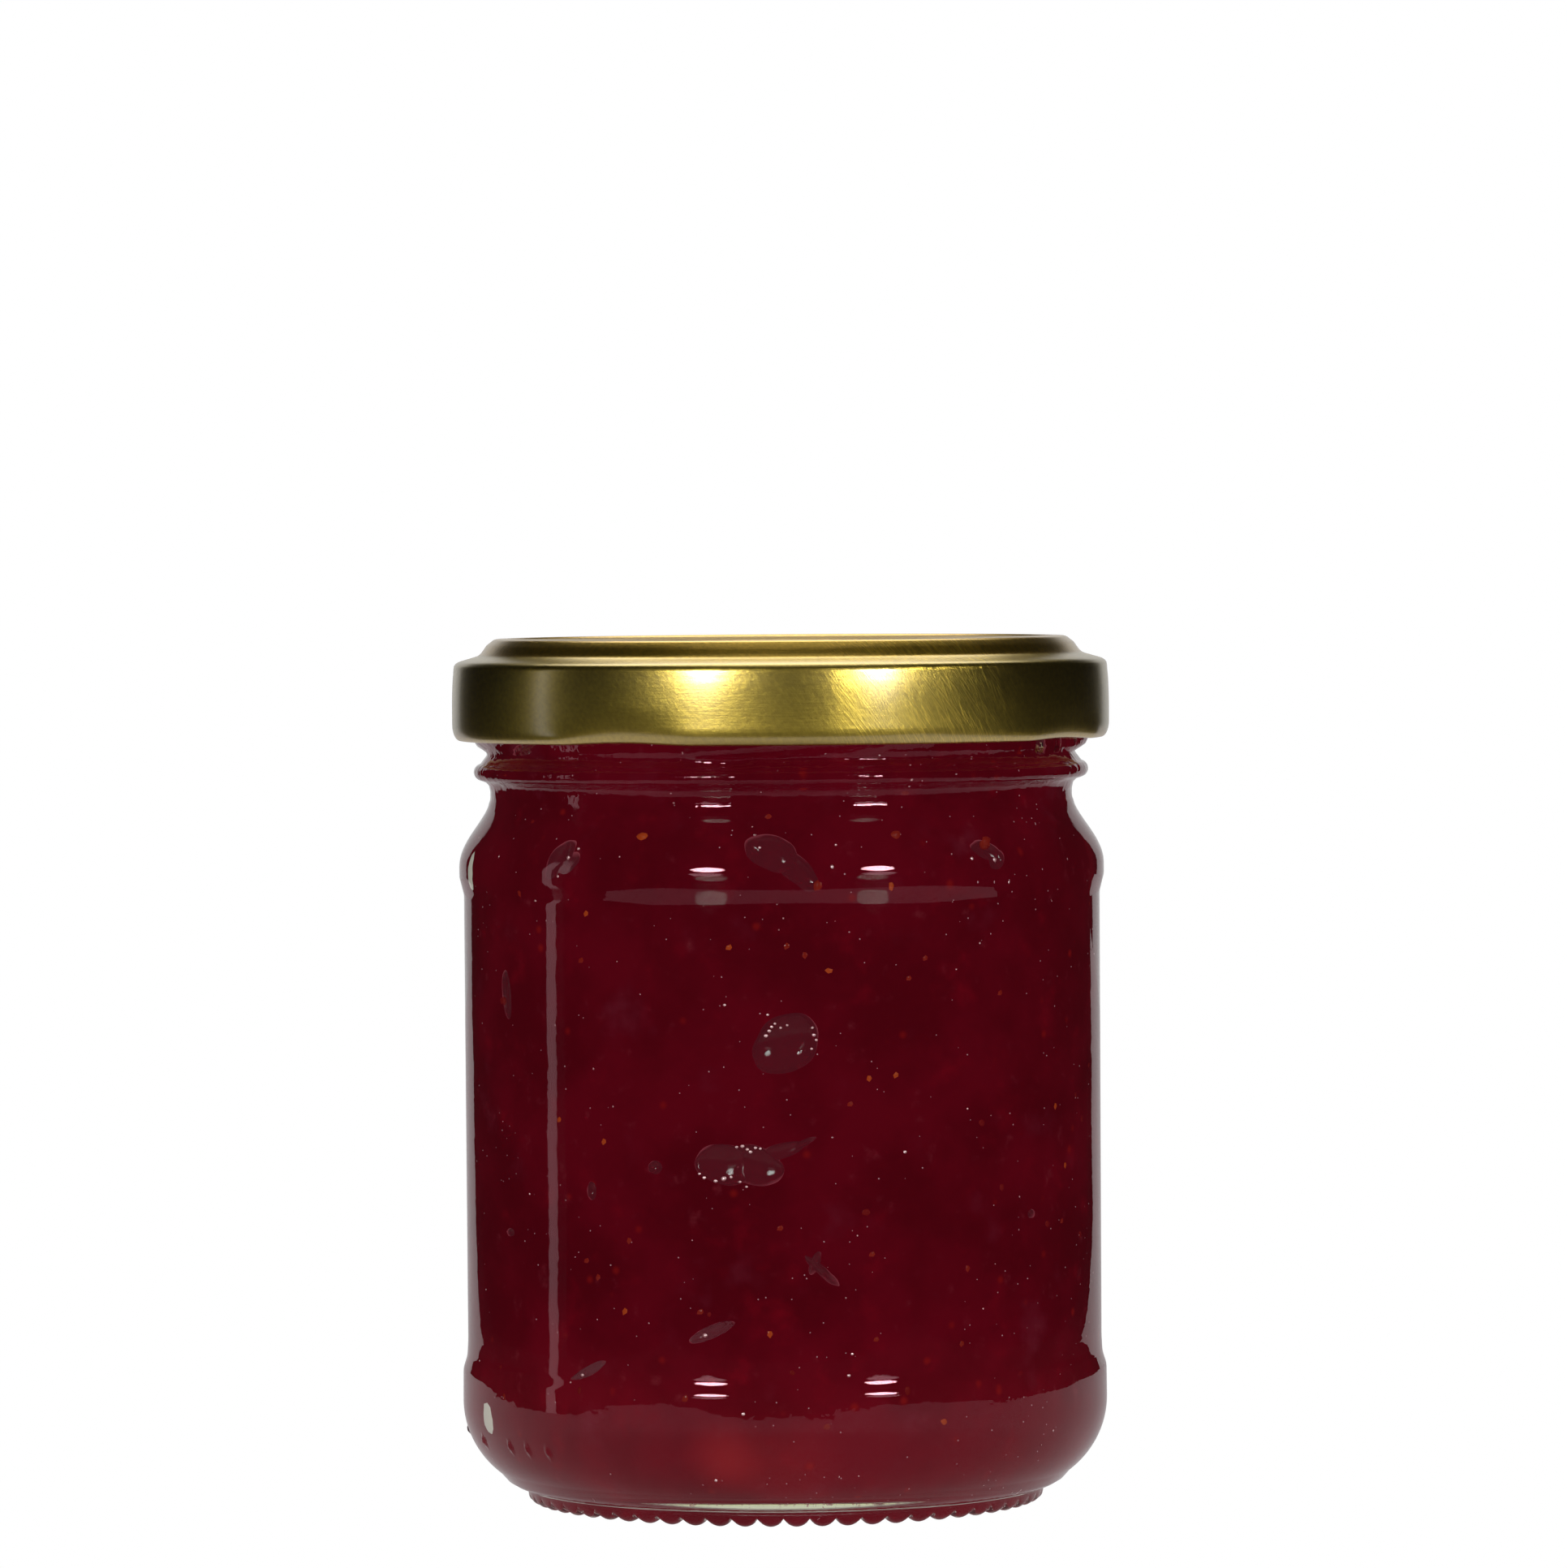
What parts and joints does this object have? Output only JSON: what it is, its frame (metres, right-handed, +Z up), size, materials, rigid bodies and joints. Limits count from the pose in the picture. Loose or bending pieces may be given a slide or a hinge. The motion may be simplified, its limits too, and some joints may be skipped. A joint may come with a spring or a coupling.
{
  "type": "jar of jam",
  "caption": "Small round clear glass jar of dark red seeded jam, shut with a plain gold twist-off lid of tinplate; rests on a beaded base.",
  "frame": {"origin": "middle of the base, on the surface the jar stands on", "axes": "+Z up along the jar's axis, -Y towards the front, +X to the right as seen from the front"},
  "size_m": [0.069, 0.069, 0.0907],
  "materials": {
    "clear_glass": "clear, moulded",
    "gold_tinplate": "satin gold lacquer",
    "dark_red_jam": "set jam with fine seeds"
  },
  "bodies": {
    "root": {"glass_jar": "clear_glass", "twist_lid": "gold_tinplate", "jam": "dark_red_jam"}
  },
  "joints": []
}
